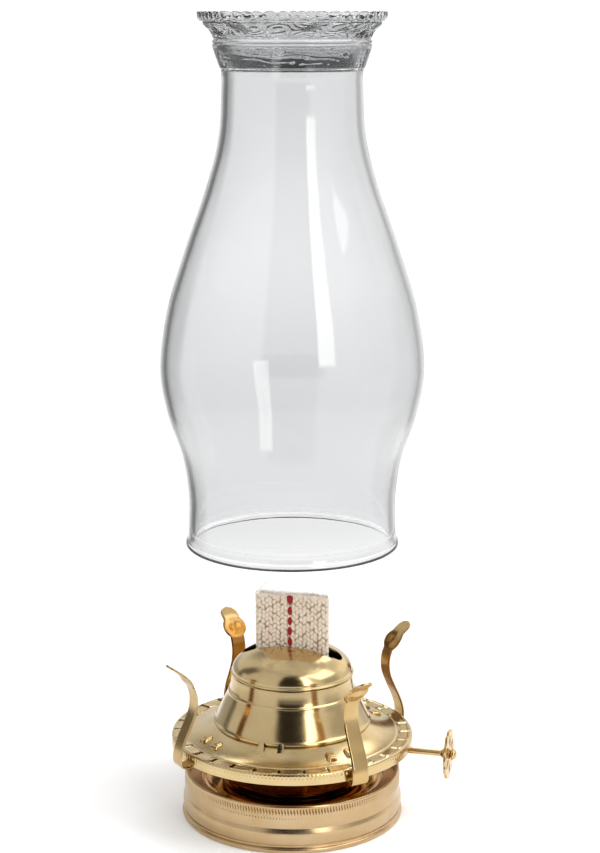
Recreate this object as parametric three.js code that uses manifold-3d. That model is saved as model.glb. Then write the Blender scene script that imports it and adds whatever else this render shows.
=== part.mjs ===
// An oil lamp's burner set for a screw-top jar: a jar band with its adapter, a flat-wick burner with its
// gallery, prongs, cone and wick raiser, the wick, and a glass chimney lifted clear of the burner.
//
// Millimetres, +Z up. The origin is on the burner's axis, at the underside of the jar band, which is where
// the jar comes up into it. +X runs along the wick raiser's shaft, towards the thumbwheel.

import * as THREE from 'three';
import { mergeVertices } from 'three/addons/utils/BufferGeometryUtils.js';
import Module from 'manifold-3d';

const wasm = await Module();
wasm.setup();

// ---- driving dimensions ----

const GAP = 0.3; // between two pieces that rest on each other
const SHEET = 0.6; // the pressed brass sheet of the burner
const MERGE = 1e-4; // vertices closer than this are one
const THROUGH = 1; // how far a cutting tool sticks out of what it cuts
const ROUND_STEPS = 36; // sides of the burner's round pieces

// jar band
const BAND_RADIUS = 36.1;
const BAND_BEAD_RADIUS = 37;
const BAND_HEIGHT = 16;
const BAND_SHEET = 0.8;
const BAND_FLANGE_TOP = 13.5;
const BAND_MOUTH_RADIUS = 30.5;

// adapter inside the band
const ADAPTER_RADIUS = 34.6;
const ADAPTER_TOP = BAND_FLANGE_TOP - SHEET - GAP;
const COLLAR_BOTTOM = 4;
const COLLAR_INNER = 15.7;
const COLLAR_OUTER = 16.7;
const COLLAR_FLANGE = 19;
const COLLAR_FLANGE_THICK = 0.5;

// burner cup
const CUP_RADIUS = 31.2; // at its top; the wall slopes in to the foot
const CUP_FOOT_RADIUS = 23.4;
const CUP_FLOOR = 14.4;
const CUP_TOP = 27.9;
const NECK_RADIUS = COLLAR_INNER - 0.4;
const NECK_WALL = 0.7;
const NECK_BOTTOM = 4.6;
const AIR_HOLE_COUNT = 20;
const AIR_HOLE_RADIUS = 1.2;
const AIR_HOLE_Z = 24;
const AIR_HOLE_KEEP_OUT = 14; // degrees each side of the shaft in which there is no air hole
const VENT_RADIUS = 1.5; // lets air into the jar as the oil goes down
const VENT_Y = -8;

// air screen in the gallery's mouth: rings of [radius, number of holes]
const SCREEN_BOTTOM = 30.2;
const SCREEN_RINGS = [[12.5, 8], [19, 16]];
const SCREEN_HOLE_RADIUS = 1.4;
const SCREEN_MARGIN = 2.7; // least distance from the tube to the middle of a hole

// gallery, the plate that the chimney stands on
const GALLERY_RADIUS = 39.8;
const GALLERY_TOP = 27.9;
const GALLERY_SKIRT = 3.1;
const SLIT_RING_INNER = 35.5;
const SLIT_COUNT = 30;
const SLIT_WIDTH = 0.5;
const DISH_INNER = 25.4;
const DISH_RISE = 3.7;
const DISH_POWER = 1.6;
const DISH_STEPS = 5;
const MOUTH_TOP = GALLERY_TOP + DISH_RISE;
const MOUTH_RADIUS = 24.2;
const MOUTH_DROP = 1.7;
const LUG_ANGLES = [83, 97, 263, 277];
const LUG_RADIUS = 27.1;
const LUG_THICK = 0.8;
const LUG_WIDTH = 2.2;
const LUG_BOTTOM = 30;
const LUG_TOP = 32.5;

// prongs
const PRONG_ANGLES = [45, 135, 225, 315];
const PRONG_THICK = 0.7;
const PRONG_WIDTH_FOOT = 6.2;
const PRONG_WIDTH_NECK = 5.2;
const PRONG_DISC = 8.6;
const PRONG_TONGUE = 6.4;
const PRONG_TONGUE_LENGTH = 6; // from the end to 2 mm inside the disc
const PRONG_TONGUE_ROUND = 2.2;
const PRONG_BAR = 9.8;
const PRONG_STATIONS = 24;
const TAB_ANGLE = 6.5;
const TAB_RADIUS = 32;
const TAB_WIDTH = 2.4;

// cone skirt and dome
const CONE_WALL = 0.6;
const RIDGE_RADIUS = 20;
const RIDGE_Z = 48.8;
const DOME_TOP = 58.8;
const DOME_POWER = 2; // an ellipse
const DOME_STEPS = 6;
const SLOT_LENGTH = 34;
const SLOT_WIDTH = 8;

// wick and the tube that it runs in
const WICK_WIDTH = 24.5;
const WICK_THICK = 2.5;
const WICK_BOTTOM = 1.2;
const WICK_TOP = 75.8;
const TUBE_WIDTH = 27;
const TUBE_THICK = 4.6;
const TUBE_WALL = 0.7;
const TUBE_BOTTOM = 8;
const TUBE_TOP = 54;

// wick raiser
const SHAFT_Y = 5.8;
const SHAFT_Z = 22.6;
const SHAFT_RADIUS = 1;
const SHAFT_CLEARANCE = 0.25;
const SHAFT_INNER_END = -14.9;
const STAR_XS = [-9, -3, 3, 9];
const STAR_RADIUS = 4.2;
const STAR_ROOT = 3.1;
const STAR_TEETH = 10;
const STAR_THICK = 0.8;
const WHEEL_X = 52.3;
const WHEEL_THICK = 1;
const WHEEL_RADIUS = 8;
const WHEEL_LOBES = 12;
const WHEEL_HOLES = 6;
const WHEEL_HOLE_RING = 4.7;
const WHEEL_HOLE_RADIUS = 1.75;

// housing round the star wheels
const HOUSING_HALF = 14.2;
const HOUSING_BACK = 11.2;
const HOUSING_BOTTOM = 17.3;
const HOUSING_TOP = 27.9;

// glass chimney
const CHIMNEY_BOTTOM = 92.9;
const CHIMNEY_WALL = 1.9;
const CHIMNEY_STEPS = 32;
const CHIMNEY_SAMPLES = 12;
const CHIMNEY_INNER_SAMPLES = 8;

// ---- materials ----

const brass = () => new THREE.MeshStandardMaterial({ color: 0xc9a567, roughness: 0.2, metalness: 1 });
const paleBrass = () => new THREE.MeshStandardMaterial({ color: 0xd4b88a, roughness: 0.28, metalness: 1 });
const glass = () => new THREE.MeshStandardMaterial({
  color: 0xdfe4e8, roughness: 0.03, metalness: 0, transparent: true, opacity: 0.35,
});
const cotton = () => new THREE.MeshStandardMaterial({ color: 0xe6d9c6, roughness: 0.95, metalness: 0 });

// ---- helpers ----

const radians = THREE.MathUtils.degToRad;
const point = (r, z) => new THREE.Vector2(r, z);

// Six times the enclosed volume: positive when the faces point out.
function signedVolume(position, index) {
  const a = new THREE.Vector3();
  const b = new THREE.Vector3();
  const c = new THREE.Vector3();
  let total = 0;
  for (let i = 0; i < index.length; i += 3) {
    a.fromBufferAttribute(position, index[i]);
    b.fromBufferAttribute(position, index[i + 1]);
    c.fromBufferAttribute(position, index[i + 2]);
    total += a.dot(b.cross(c));
  }
  return total;
}

// Joins the seams of a three.js geometry, so that it is one closed body with its faces out.
function closedBody(geometry) {
  const bare = geometry.clone();
  bare.deleteAttribute('normal');
  bare.deleteAttribute('uv');
  const merged = mergeVertices(bare, MERGE);
  const index = [];
  const source = merged.index.array;
  for (let i = 0; i < source.length; i += 3) {
    const [a, b, c] = [source[i], source[i + 1], source[i + 2]];
    if (a !== b && b !== c && c !== a) index.push(a, b, c);
  }
  if (signedVolume(merged.attributes.position, index) < 0) index.reverse();
  merged.setIndex(index);
  return merged;
}

function toManifold(geometry) {
  const body = closedBody(geometry);
  return new wasm.Manifold(new wasm.Mesh({
    numProp: 3,
    vertProperties: Float32Array.from(body.attributes.position.array),
    triVerts: Uint32Array.from(body.index.array),
  }));
}

function fromManifold(manifold) {
  const mesh = manifold.getMesh();
  const geometry = new THREE.BufferGeometry();
  geometry.setAttribute('position', new THREE.BufferAttribute(mesh.vertProperties, 3));
  geometry.setIndex(new THREE.BufferAttribute(mesh.triVerts, 1));
  return geometry;
}

function join(geometries) {
  const [first, ...others] = geometries.map(toManifold);
  return fromManifold(others.reduce((sum, other) => sum.add(other), first));
}

function cut(geometry, tools) {
  const whole = toManifold(geometry);
  return fromManifold(tools.map(toManifold).reduce((rest, tool) => rest.subtract(tool), whole));
}

// A closed outline of (radius, height) points, turned round the Z axis.
function turned(outline, steps = ROUND_STEPS) {
  const onAxis = outline[0].x === 0 && outline.at(-1).x === 0;
  const points = onAxis ? outline : [...outline, outline[0]];
  return closedBody(new THREE.LatheGeometry(points, steps).rotateX(Math.PI / 2));
}

// A shape in the XY plane, raised from one height to another.
function raised(shape, bottom, top, curveSegments = 3) {
  const options = { depth: top - bottom, bevelEnabled: false, curveSegments };
  return closedBody(new THREE.ExtrudeGeometry(shape, options).translate(0, 0, bottom));
}

// A block given by its lowest and highest corners.
function block(low, high) {
  const size = high.map((value, axis) => value - low[axis]);
  const middle = high.map((value, axis) => (value + low[axis]) / 2);
  return new THREE.BoxGeometry(...size).translate(...middle);
}

// The radial direction of a tool that was made on the +X side, turned to another angle in degrees.
function turnedTo(geometry, angle) {
  return geometry.clone().rotateZ(radians(angle));
}

// The corners of a many-sided circle.
function circle(radius, sides, x = 0, y = 0) {
  const corners = [];
  for (let side = 0; side < sides; side += 1) {
    const angle = side * (2 * Math.PI / sides);
    corners.push(point(x + radius * Math.cos(angle), y + radius * Math.sin(angle)));
  }
  return corners;
}

// A rectangle with round corners, centred on the origin.
function roundedRectangle(width, height, corner, target = new THREE.Shape()) {
  const x = width / 2 - corner;
  const y = height / 2 - corner;
  target.absarc(x, y, corner, 0, Math.PI / 2);
  target.absarc(-x, y, corner, Math.PI / 2, Math.PI);
  target.absarc(-x, -y, corner, Math.PI, 1.5 * Math.PI);
  target.absarc(x, -y, corner, 1.5 * Math.PI, 2 * Math.PI);
  target.closePath();
  return target;
}

// A strip of sheet that follows a path of (radius, height) points, as wide as widthAt says at each distance
// along it. The strip's face stays square to the path and its width runs sideways.
function bentStrip(path, thickness, widthAt, stations) {
  const length = path.getLength();
  const strip = new THREE.BoxGeometry(1, 1, 1, stations, 2, 1);
  const position = strip.attributes.position;
  for (let i = 0; i < position.count; i += 1) {
    const along = THREE.MathUtils.clamp(position.getX(i) + 0.5, 0, 1);
    const middle = path.getPointAt(along);
    const tangent = path.getTangentAt(along);
    const off = position.getZ(i) * thickness;
    const across = position.getY(i) * widthAt(along * length, length);
    position.setXYZ(i, middle.x - tangent.y * off, across, middle.y + tangent.x * off);
  }
  return closedBody(strip);
}

const lamp = new THREE.Group();

function addPiece(name, geometry, material) {
  const mesh = new THREE.Mesh(geometry, material);
  mesh.name = name;
  lamp.add(mesh);
  return mesh;
}

// ---- jar band and adapter ----

// A rolled foot bead, a bulged lower band, a step, a plain upper band with a rolled top edge, and a flange
// turned inwards that holds the adapter down on the jar.
function jarBand() {
  const inner = BAND_RADIUS - BAND_SHEET;
  return turned([
    point(35.4, 0),
    point(36.4, 0),
    point(BAND_BEAD_RADIUS, 0.6),
    point(BAND_BEAD_RADIUS, 1.5),
    point(36.4, 2.4),
    point(36.7, 5.2),
    point(36.5, 7.4),
    point(BAND_RADIUS, 8.2),
    point(BAND_RADIUS, 15.2),
    point(35.8, BAND_HEIGHT - 0.1),
    point(35.3, BAND_HEIGHT),
    point(34.9, 15.4),
    point(34.9, BAND_FLANGE_TOP),
    point(BAND_MOUTH_RADIUS, BAND_FLANGE_TOP),
    point(BAND_MOUTH_RADIUS, BAND_FLANGE_TOP - SHEET),
    point(inner, BAND_FLANGE_TOP - SHEET),
    point(inner, 8),
    point(35.8, 5.2),
    point(35.4, 2.6),
  ]);
}

// The flat disc that lies on the jar's rim under the band's flange.
function adapterPlate() {
  const bore = COLLAR_OUTER + 0.4;
  return turned([
    point(bore, ADAPTER_TOP - SHEET),
    point(ADAPTER_RADIUS, ADAPTER_TOP - SHEET),
    point(ADAPTER_RADIUS, ADAPTER_TOP),
    point(bore, ADAPTER_TOP),
  ]);
}

// The collar in the middle of the adapter, into which the burner's neck goes.
function adapterCollar() {
  const flangeBottom = ADAPTER_TOP + GAP;
  return turned([
    point(COLLAR_INNER, COLLAR_BOTTOM),
    point(COLLAR_OUTER, COLLAR_BOTTOM),
    point(COLLAR_OUTER, flangeBottom),
    point(COLLAR_FLANGE, flangeBottom),
    point(COLLAR_FLANGE, flangeBottom + COLLAR_FLANGE_THICK),
    point(COLLAR_INNER, flangeBottom + COLLAR_FLANGE_THICK),
  ]);
}

// ---- burner body ----

// Outer radius of the cup's sloping wall at a height.
function cupRadius(height) {
  const share = (height - CUP_FLOOR) / (CUP_TOP - CUP_FLOOR);
  return THREE.MathUtils.lerp(CUP_FOOT_RADIUS, CUP_RADIUS, share);
}

// The bowl-shaped cup under the gallery, with its neck, a ring of air holes and the wick raiser's shaft hole.
function burnerCup() {
  const wall = SHEET + 0.1; // measured level, across the slope
  const underside = CUP_FLOOR - SHEET;
  const shell = turned([
    point(NECK_RADIUS - NECK_WALL, NECK_BOTTOM),
    point(NECK_RADIUS, NECK_BOTTOM),
    point(NECK_RADIUS, underside),
    point(CUP_FOOT_RADIUS - 0.8, underside),
    point(CUP_FOOT_RADIUS, CUP_FLOOR),
    point(CUP_RADIUS, CUP_TOP),
    point(CUP_RADIUS - wall, CUP_TOP),
    point(cupRadius(CUP_FLOOR + 0.8) - wall, CUP_FLOOR + 0.8),
    point(CUP_FOOT_RADIUS - wall - 0.6, CUP_FLOOR),
    point(NECK_RADIUS - NECK_WALL, CUP_FLOOR),
  ]);
  const drill = new THREE.CylinderGeometry(AIR_HOLE_RADIUS, AIR_HOLE_RADIUS, 4, 6);
  drill.rotateZ(Math.PI / 2).translate(cupRadius(AIR_HOLE_Z), 0, AIR_HOLE_Z);
  const shaftAngle = THREE.MathUtils.radToDeg(Math.asin(SHAFT_Y / cupRadius(SHAFT_Z)));
  const tools = [];
  for (let hole = 0; hole < AIR_HOLE_COUNT; hole += 1) {
    const angle = (hole + 0.5) * (360 / AIR_HOLE_COUNT);
    const besideShaft = Math.abs(angle - shaftAngle) < AIR_HOLE_KEEP_OUT;
    if (!besideShaft) tools.push(turnedTo(drill, angle));
  }
  const shaftHole = SHAFT_RADIUS + SHAFT_CLEARANCE;
  const shaftDrill = new THREE.CylinderGeometry(shaftHole, shaftHole, 6, 12);
  tools.push(shaftDrill.rotateZ(Math.PI / 2).translate(cupRadius(SHAFT_Z), SHAFT_Y, SHAFT_Z));
  return cut(shell, tools);
}

// The clearance hole that the wick tube passes through.
function tubeSlot() {
  return roundedRectangle(TUBE_WIDTH + 2 * GAP, TUBE_THICK + 2 * GAP, 1, new THREE.Path());
}

// The disc across the cup's floor that holds the wick tube, with its vent into the jar.
function tubePlate() {
  const bottom = CUP_FLOOR + GAP;
  const top = bottom + SHEET;
  const plate = new THREE.Shape(circle(COLLAR_FLANGE, ROUND_STEPS));
  plate.holes.push(tubeSlot());
  plate.holes.push(new THREE.Path(circle(VENT_RADIUS, 8, 0, VENT_Y)));
  return raised(plate, bottom, top);
}

// The flat tube that the wick runs in, with a window for each star wheel in its back wall.
function wickTube() {
  const outline = roundedRectangle(TUBE_WIDTH, TUBE_THICK, 1.2);
  const boreWidth = TUBE_WIDTH - 2 * TUBE_WALL;
  const boreThick = TUBE_THICK - 2 * TUBE_WALL;
  outline.holes.push(roundedRectangle(boreWidth, boreThick, 0.6, new THREE.Path()));
  const windowHalf = STAR_THICK / 2 + 0.4;
  const windows = STAR_XS.map((x) => block(
    [x - windowHalf, TUBE_THICK / 2 - TUBE_WALL - 0.3, SHAFT_Z - 2.9],
    [x + windowHalf, TUBE_THICK / 2 + THROUGH, SHAFT_Z + 2.9],
  ));
  return cut(raised(outline, TUBE_BOTTOM, TUBE_TOP), windows);
}

// The box behind the tube that carries the shaft and covers the star wheels. Its front is open to the tube.
function ratchetHousing() {
  const front = TUBE_THICK / 2 + 0.4;
  const shell = block(
    [-HOUSING_HALF, front, HOUSING_BOTTOM],
    [HOUSING_HALF, HOUSING_BACK, HOUSING_TOP],
  );
  const inside = block(
    [-HOUSING_HALF + SHEET, front - THROUGH, HOUSING_BOTTOM + SHEET],
    [HOUSING_HALF - SHEET, HOUSING_BACK - SHEET, HOUSING_TOP - SHEET],
  );
  const bearing = SHAFT_RADIUS + SHAFT_CLEARANCE;
  const drill = new THREE.CylinderGeometry(bearing, bearing, 2 * HOUSING_HALF + 4, 12);
  drill.rotateZ(Math.PI / 2).translate(0, SHAFT_Y, SHAFT_Z);
  return cut(shell, [inside, drill]);
}

// The perforated disc in the gallery's mouth that spreads the air before it meets the flame.
function airScreen() {
  const radius = MOUTH_RADIUS - 0.4;
  const disc = new THREE.Shape(circle(radius, ROUND_STEPS));
  disc.holes.push(tubeSlot());
  for (const [ring, count] of SCREEN_RINGS) {
    for (const middle of circle(ring, count)) {
      const pastSide = Math.abs(middle.x) - TUBE_WIDTH / 2 > SCREEN_MARGIN;
      const pastFace = Math.abs(middle.y) - TUBE_THICK / 2 > SCREEN_MARGIN;
      if (!pastSide && !pastFace) continue;
      disc.holes.push(new THREE.Path(circle(SCREEN_HOLE_RADIUS, 6, middle.x, middle.y)));
    }
  }
  return raised(disc, SCREEN_BOTTOM, SCREEN_BOTTOM + SHEET);
}

// ---- gallery ----

// Height of the gallery's upper face at a radius: flat under the slits, then a dish that rises inwards.
function dishHeight(radius) {
  const inwards = (SLIT_RING_INNER - radius) / (SLIT_RING_INNER - DISH_INNER);
  return GALLERY_TOP + DISH_RISE * Math.max(inwards, 0) ** DISH_POWER;
}

// The plate that the chimney stands on: a short skirt round the rim, a ring of radial slits, the dish, a
// turned-down mouth, slots for the prongs' tabs, and four lugs that keep the cone in its place.
function galleryPlate() {
  const upper = [];
  const under = [];
  for (let step = 0; step <= DISH_STEPS; step += 1) {
    const share = step / DISH_STEPS;
    const radius = SLIT_RING_INNER + (DISH_INNER - SLIT_RING_INNER) * share;
    upper.push(point(radius, dishHeight(radius)));
    under.unshift(point(radius - 0.1, dishHeight(radius) - SHEET));
  }
  const rimBottom = GALLERY_TOP - GALLERY_SKIRT;
  const shell = turned([
    point(GALLERY_RADIUS - SHEET, rimBottom),
    point(GALLERY_RADIUS, rimBottom),
    point(GALLERY_RADIUS, GALLERY_TOP - 0.6),
    point(GALLERY_RADIUS - 0.5, GALLERY_TOP),
    ...upper,
    point(MOUTH_RADIUS + 0.5, MOUTH_TOP - 0.2),
    point(MOUTH_RADIUS, MOUTH_TOP - 0.7),
    point(MOUTH_RADIUS, MOUTH_TOP - MOUTH_DROP),
    point(MOUTH_RADIUS + SHEET, MOUTH_TOP - MOUTH_DROP),
    point(MOUTH_RADIUS + SHEET, MOUTH_TOP - 1),
    ...under,
    point(GALLERY_RADIUS - 0.9, GALLERY_TOP - SHEET),
    point(GALLERY_RADIUS - SHEET, GALLERY_TOP - 1),
  ]);
  const slit = block(
    [SLIT_RING_INNER + 0.4, -SLIT_WIDTH / 2, GALLERY_TOP - SHEET - THROUGH],
    [GALLERY_RADIUS - 0.8, SLIT_WIDTH / 2, GALLERY_TOP + THROUGH],
  );
  const tools = [];
  for (let index = 0; index < SLIT_COUNT; index += 1) {
    tools.push(turnedTo(slit, (index + 0.25) * (360 / SLIT_COUNT)));
  }
  const tabSlotHalf = TAB_WIDTH / 2 + GAP;
  const tabSlot = block(
    [TAB_RADIUS - PRONG_THICK / 2 - GAP, -tabSlotHalf, GALLERY_TOP - 2],
    [TAB_RADIUS + PRONG_THICK / 2 + GAP, tabSlotHalf, GALLERY_TOP + 3],
  );
  for (const angle of PRONG_ANGLES) {
    tools.push(turnedTo(tabSlot, angle - TAB_ANGLE), turnedTo(tabSlot, angle + TAB_ANGLE));
  }
  const lug = block(
    [LUG_RADIUS - LUG_THICK / 2, -LUG_WIDTH / 2, LUG_BOTTOM],
    [LUG_RADIUS + LUG_THICK / 2, LUG_WIDTH / 2, LUG_TOP],
  );
  return join([cut(shell, tools), ...LUG_ANGLES.map((angle) => turnedTo(lug, angle))]);
}

// ---- prongs ----

// Side view of a prong: out under the gallery, round its rim, up and in to the glass, then out at the head.
const prongPath = new THREE.SplineCurve([
  point(32.6, 26.5),
  point(35.5, 25.2),
  point(38.8, 23.9),
  point(41.4, 23.7),
  point(42.9, 25),
  point(42.9, 28.4),
  point(41.6, 32.6),
  point(39.2, 37.6),
  point(37.4, 42),
  point(37, 46),
  point(37.9, 49.8),
  point(39.9, 53.2),
  point(42.2, 55.6),
  point(46.4, 58.6),
]);

// A plain strip that narrows upwards, with a round disc at the head and a tongue past it.
function prongWidth(distance, length) {
  const discMiddle = length - PRONG_TONGUE_LENGTH - PRONG_DISC / 2 + 2;
  const fromDisc = (distance - discMiddle) / (PRONG_DISC / 2);
  const disc = PRONG_DISC * Math.sqrt(Math.max(1 - fromDisc * fromDisc, 0));
  const share = Math.min(distance / discMiddle, 1);
  const strip = THREE.MathUtils.lerp(PRONG_WIDTH_FOOT, PRONG_WIDTH_NECK, share);
  const fromEnd = Math.min((length - distance) / PRONG_TONGUE_ROUND, 1);
  const tongue = PRONG_TONGUE * Math.sqrt(Math.max(1 - (1 - fromEnd) ** 2, 0.12));
  const plain = distance > discMiddle ? tongue : strip;
  return Math.max(plain, disc);
}

// One of the two tabs of a prong's foot: up through the dish, then folded inwards over it.
function clinchTab(side) {
  const foldRadius = 31.2;
  const over = GAP + PRONG_THICK / 2 + 0.1;
  const path = new THREE.SplineCurve([
    point(TAB_RADIUS, 26.2),
    point(TAB_RADIUS, 27.6),
    point(TAB_RADIUS, dishHeight(TAB_RADIUS) + 0.3),
    point(foldRadius, dishHeight(foldRadius) + over),
    point(29.6, dishHeight(29.6) + over),
  ]);
  const tab = bentStrip(path, PRONG_THICK, () => TAB_WIDTH, 8);
  return tab.rotateZ(radians(side * TAB_ANGLE));
}

// The strip, the cross bar under the gallery and the two clinched tabs are one piece of sheet.
function prong() {
  const strip = bentStrip(prongPath, PRONG_THICK, prongWidth, PRONG_STATIONS);
  const barPath = new THREE.SplineCurve([point(31.7, 26.9), point(33.2, 26.2), point(34.6, 25.6)]);
  const bar = bentStrip(barPath, PRONG_THICK, () => PRONG_BAR, 4);
  return join([strip, bar, clinchTab(-1), clinchTab(1)]);
}

// ---- cone and dome ----

// The flared skirt of the cone, with a rolled lip at its foot and a pressed groove below the ridge.
function coneSkirt() {
  const outer = [
    point(25.7, 31.95),
    point(26.3, 32.3),
    point(26.2, 32.9),
    point(25.5, 33.5),
    point(24.7, 35.3),
    point(23.4, 38),
    point(21.9, 41.1),
    point(21.2, 42.7),
    point(21.2, 43.3),
    point(20.7, 44),
    point(20.2, 46.2),
    point(RIDGE_RADIUS, RIDGE_Z - GAP),
  ];
  const inner = [outer[11], outer[9], outer[6], outer[5], outer[4], outer[3]];
  return turned([...outer, ...inner.map((p) => point(p.x - CONE_WALL, p.y)), point(25.1, 31.95)]);
}

// Radius of the dome at a height above the ridge, as a share of its full rise.
function domeRadius(radius, share) {
  return radius * (1 - share ** DOME_POWER) ** (1 / DOME_POWER);
}

// The cap on top of the cone, with a rolled ridge round it and the long slot that the flame burns through.
function domeCap() {
  const springing = RIDGE_Z + 0.9;
  const outer = [];
  const inner = [];
  for (let step = 0; step <= DOME_STEPS; step += 1) {
    const share = step === DOME_STEPS ? 1 : Math.sin((step / DOME_STEPS) * (Math.PI / 2));
    const rise = (DOME_TOP - springing) * share;
    const innerRise = (DOME_TOP - CONE_WALL - springing) * share;
    outer.unshift(point(domeRadius(RIDGE_RADIUS, share), springing + rise));
    inner.push(point(domeRadius(RIDGE_RADIUS - CONE_WALL, share), springing + innerRise));
  }
  const cap = turned([
    ...outer,
    point(RIDGE_RADIUS + 0.4, RIDGE_Z + 0.6),
    point(RIDGE_RADIUS + 0.4, RIDGE_Z + 0.3),
    point(RIDGE_RADIUS, RIDGE_Z),
    point(RIDGE_RADIUS - CONE_WALL, RIDGE_Z),
    ...inner,
  ]);
  const slot = roundedRectangle(SLOT_LENGTH, SLOT_WIDTH, SLOT_WIDTH / 2 - 0.01);
  return cut(cap, [raised(slot, RIDGE_Z + 1.5, DOME_TOP + THROUGH, 6)]);
}

// ---- wick raiser ----

// Turns a piece made round the Z axis to lie along the wick raiser's shaft.
function alongShaft(geometry, x) {
  return geometry.rotateY(Math.PI / 2).translate(x, SHAFT_Y, SHAFT_Z);
}

// The shaft, with a shoulder before the thumbwheel and a peened bead after it.
function wickShaft() {
  const wheelIn = WHEEL_X - WHEEL_THICK / 2 - GAP;
  const wheelOut = WHEEL_X + WHEEL_THICK / 2 + GAP;
  const outline = [
    point(0, SHAFT_INNER_END),
    point(SHAFT_RADIUS, SHAFT_INNER_END),
    point(SHAFT_RADIUS, wheelIn - 1.4),
    point(1.7, wheelIn - 1),
    point(1.7, wheelIn),
    point(SHAFT_RADIUS, wheelIn),
    point(SHAFT_RADIUS, wheelOut),
    point(1.6, wheelOut),
    point(1.8, wheelOut + 0.7),
    point(1.3, wheelOut + 1.5),
    point(0, wheelOut + 1.8),
  ];
  return alongShaft(turned(outline, 16), 0);
}

// A small toothed wheel that bites the wick through its window in the tube.
function starWheel(x) {
  const corners = [];
  for (let corner = 0; corner < 2 * STAR_TEETH; corner += 1) {
    const radius = corner % 2 === 0 ? STAR_RADIUS : STAR_ROOT;
    const angle = corner * (Math.PI / STAR_TEETH);
    corners.push(point(radius * Math.cos(angle), radius * Math.sin(angle)));
  }
  const outline = new THREE.Shape(corners);
  outline.holes.push(new THREE.Path(circle(SHAFT_RADIUS + GAP, 10)));
  return alongShaft(raised(outline, -STAR_THICK / 2, STAR_THICK / 2), x);
}

// The openwork disc at the outer end of the shaft, with a lobed edge to grip.
function thumbwheel() {
  const edge = [];
  const edgeSteps = WHEEL_LOBES * 4;
  for (let step = 0; step < edgeSteps; step += 1) {
    const angle = step * (2 * Math.PI / edgeSteps);
    const radius = WHEEL_RADIUS - 0.7 * (1 - Math.abs(Math.cos(angle * WHEEL_LOBES / 2)));
    edge.push(point(radius * Math.cos(angle), radius * Math.sin(angle)));
  }
  const outline = new THREE.Shape(edge);
  outline.holes.push(new THREE.Path(circle(SHAFT_RADIUS + GAP, 12)));
  for (const middle of circle(WHEEL_HOLE_RING, WHEEL_HOLES)) {
    outline.holes.push(new THREE.Path(circle(WHEEL_HOLE_RADIUS, 10, middle.x, middle.y)));
  }
  return alongShaft(raised(outline, -WHEEL_THICK / 2, WHEEL_THICK / 2), WHEEL_X);
}

// ---- wick and chimney ----

function wick() {
  return raised(roundedRectangle(WICK_WIDTH, WICK_THICK, 0.8), WICK_BOTTOM, WICK_TOP, 2);
}

// The blown glass: a bead at the foot, a plain fitter, the bulge, the neck, and a flared crimped collar.
function chimney() {
  const side = new THREE.SplineCurve([
    point(33.8, 5),
    point(33.7, 17),
    point(35.6, 30.4),
    point(40.4, 45),
    point(42.45, 59.5),
    point(39.8, 78.5),
    point(33.7, 98.2),
    point(27, 117.3),
    point(23.1, 133),
    point(22.1, 150),
  ]);
  const outer = side.getSpacedPoints(CHIMNEY_SAMPLES);
  const inner = [];
  for (let sample = 0; sample <= CHIMNEY_INNER_SAMPLES; sample += 1) {
    const here = side.getPointAt(sample / CHIMNEY_INNER_SAMPLES);
    const tangent = side.getTangentAt(sample / CHIMNEY_INNER_SAMPLES);
    inner.unshift(point(here.x - tangent.y * CHIMNEY_WALL, here.y + tangent.x * CHIMNEY_WALL));
  }
  const outline = [
    point(33.1, 0.2),
    point(34.3, 0),
    point(34.8, 0.8),
    point(34.6, 2),
    ...outer,
    point(22.7, 154.3),
    point(23.9, 158),
    point(24.5, 161),
    point(24.4, 163.6),
    point(26.7, 166),
    point(29, 168.2),
    point(29.9, 169.8),
    point(29.4, 171),
    point(28.3, 171),
    point(27.2, 169.4),
    point(24.7, 167),
    point(22.3, 164.4),
    point(20.8, 162),
    point(20.4, 158),
    point(20.4, 154.6),
    ...inner,
    point(32.9, 2.4),
    point(32.9, 0.8),
  ];
  return turned(outline, CHIMNEY_STEPS).translate(0, 0, CHIMNEY_BOTTOM);
}

// ---- assembly ----

addPiece('jar_band', jarBand(), paleBrass());
addPiece('adapter_plate', adapterPlate(), brass());
addPiece('adapter_collar', adapterCollar(), brass());
addPiece('burner_cup', burnerCup(), brass());
addPiece('tube_plate', tubePlate(), brass());
addPiece('wick_tube', wickTube(), brass());
addPiece('ratchet_housing', ratchetHousing(), brass());
addPiece('air_screen', airScreen(), brass());
addPiece('gallery_plate', galleryPlate(), paleBrass());
PRONG_ANGLES.forEach((angle, index) => {
  addPiece(`prong_${index + 1}`, prong(), brass()).rotation.z = radians(angle);
});
addPiece('cone_skirt', coneSkirt(), paleBrass());
addPiece('dome_cap', domeCap(), paleBrass());
addPiece('wick_shaft', wickShaft(), brass());
STAR_XS.forEach((x, index) => {
  addPiece(`star_wheel_${index + 1}`, starWheel(x), brass());
});
addPiece('thumbwheel', thumbwheel(), brass());
addPiece('wick', wick(), cotton());
addPiece('chimney', chimney(), glass());

export default lamp;
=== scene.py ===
import math
import random

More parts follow.
